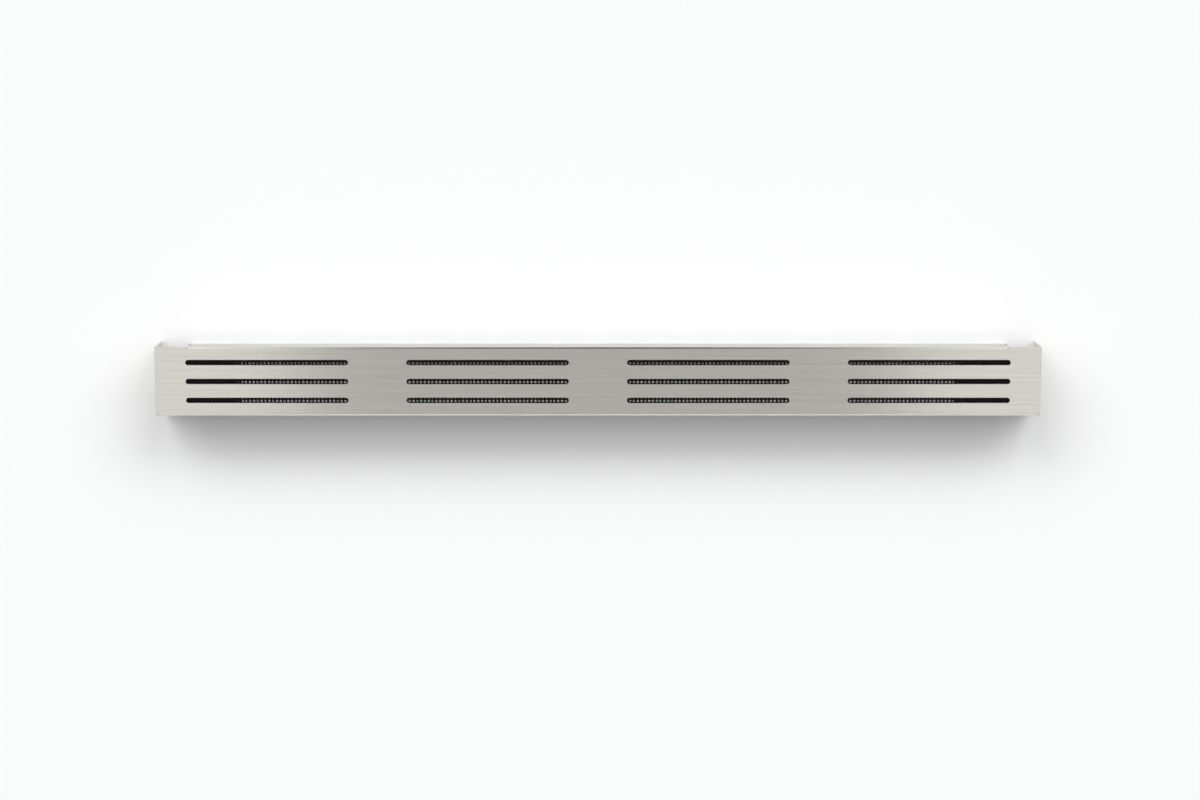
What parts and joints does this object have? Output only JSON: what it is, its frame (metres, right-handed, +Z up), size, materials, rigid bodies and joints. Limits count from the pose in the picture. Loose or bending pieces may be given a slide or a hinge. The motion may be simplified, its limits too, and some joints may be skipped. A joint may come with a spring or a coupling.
{
  "type": "electric baseboard heater",
  "caption": "Slim wall-hung electric baseboard heater: brushed steel cover with long slots over a black perforated guard and finned element; the cover pulls off, a cut-out has a reset button.",
  "frame": {"origin": "middle of the back plate's wall face, half-way up and half-way along the heater", "axes": "+X along the heater to the right as seen from the room, +Y into the wall, +Z up; the wall face is Y = 0 and the front faces -Y"},
  "size_m": [1, 0.0585, 0.0784],
  "materials": {
    "stainless": "brushed along its length",
    "guard_black": "satin black",
    "plated_steel": "zinc plated, satin",
    "galvanised": "galvanised, dull",
    "rivet_aluminium": "satin",
    "socket_black": "matt",
    "sheath_steel": "satin, slightly heat-tinted",
    "core_ceramic": "unglazed ceramic",
    "pin_steel": "satin",
    "fin_aluminium": "mill finish",
    "bush_silicone": "matt",
    "box_black": "matt black",
    "brass": "satin",
    "bushing_nylon": "satin",
    "earth_green": "satin",
    "cutout_plastic": "moulded, matt",
    "button_red": "gloss",
    "copper": "drawn copper, satin",
    "lead_brown": "silicone insulation, satin",
    "lead_blue": "silicone insulation, satin"
  },
  "bodies": {
    "chassis": {"back_plate": "galvanised", "bracket_left": "galvanised", "bracket_centre": "galvanised", "bracket_right": "galvanised", "bracket_rivets": "rivet_aluminium", "cover_sockets": "socket_black", "element_sheath": "sheath_steel", "element_core": "core_ceramic", "terminal_pin_left": "pin_steel", "terminal_pin_right": "pin_steel", "element_fins": "fin_aluminium", "sheath_bushes": "bush_silicone", "box_left": "box_black", "box_right": "box_black", "lid_left": "box_black", "lid_right": "box_black", "lid_screws": "box_black", "box_rivets": "rivet_aluminium", "terminal_block": "core_ceramic", "terminal_screws": "brass", "cable_bushing": "bushing_nylon", "cable_strap": "galvanised", "strap_screws": "plated_steel", "earth_lug": "brass", "earth_screw": "earth_green", "cutout_body": "cutout_plastic", "cutout_screws": "plated_steel", "cutout_blades": "brass", "push_on_terminals": "brass", "limit_tube": "copper", "tube_clips": "bush_silicone", "lead_to_cutout": "lead_brown", "lead_to_element": "lead_brown", "return_lead": "lead_blue", "pin_crimps": "brass"},
    "cover": {"front_cover": "stainless", "guard_far_left": "guard_black", "guard_left": "guard_black", "guard_right": "guard_black", "guard_far_right": "guard_black", "guard_studs": "plated_steel", "guard_nuts": "plated_steel", "cover_pins": "plated_steel"},
    "button": {"reset_button": "button_red"}
  },
  "joints": [
    {"name": "cover_pull", "type": "slide", "parent": "chassis", "child": "cover", "axis": [0, -1, 0], "range_m": [0, 0.08]},
    {"name": "reset_press", "type": "slide", "parent": "chassis", "child": "button", "axis": [0, 0, -1], "range_m": [0, 0.0015], "stiffness_N_per_m": 1200, "springref_m": -0.001}
  ]
}
